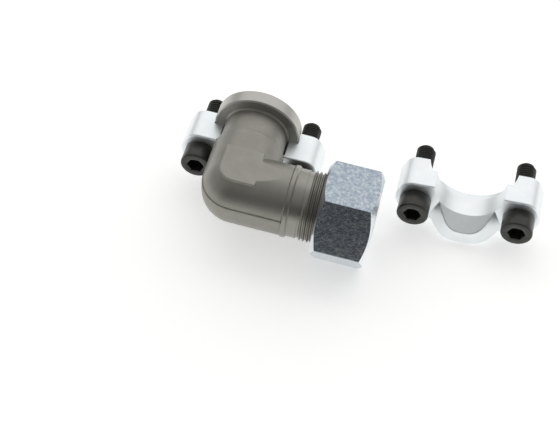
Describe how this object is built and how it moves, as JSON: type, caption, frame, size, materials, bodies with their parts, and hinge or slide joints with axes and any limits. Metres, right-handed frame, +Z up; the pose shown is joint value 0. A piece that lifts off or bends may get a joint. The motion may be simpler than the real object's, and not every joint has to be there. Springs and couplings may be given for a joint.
{
  "type": "hydraulic flange elbow",
  "caption": "Right-angle hydraulic elbow with a split-flange head on one leg and a hexagon union nut with a cutting ring on the other, with its half flanges and socket head screws.",
  "frame": {"origin": "centre of the flange's sealing face, on the axis of the flange leg", "axes": "+Y leaves the flange along its axis, +Z is up as the fitting lies, and the tube leg points along +X, drooping a few degrees so that its nut rests on the bench"},
  "size_m": [0.1873, 0.0893, 0.0517],
  "materials": {
    "phosphated_steel": "matt phosphate coat on forged steel",
    "zinc_plated_nut": "bluish zinc plate, mottled",
    "zinc_plated_flange": "pale zinc plate, satin",
    "black_screw_steel": "black oxide, slightly oiled",
    "ring_steel": "turned steel",
    "black_rubber": "moulded nitrile rubber"
  },
  "bodies": {
    "fitting": {"elbow_body": "phosphated_steel", "face_seal": "black_rubber", "mounted_half_flange": "zinc_plated_flange", "loose_half_flange": "zinc_plated_flange", "mounted_screw_left": "black_screw_steel", "mounted_screw_right": "black_screw_steel", "loose_screw_left": "black_screw_steel", "loose_screw_right": "black_screw_steel"},
    "ring": {"cutting_ring": "ring_steel"},
    "nut": {"union_nut": "zinc_plated_nut"}
  },
  "joints": [
    {"name": "ring_slide", "type": "slide", "parent": "fitting", "child": "ring", "axis": [0.9955, 0, -0.0948], "range_m": [0, 0.006]},
    {"name": "nut_turn", "type": "hinge", "parent": "ring", "child": "nut", "pos_m": [0.04231, -0.0468, -0.00403], "axis": [0.9955, 0, -0.0948], "range_deg": [0, 1080]}
  ],
  "couplings": [
    {"joint": "nut_turn", "follows": "ring_slide", "rad_per_m": 3141.6}
  ]
}
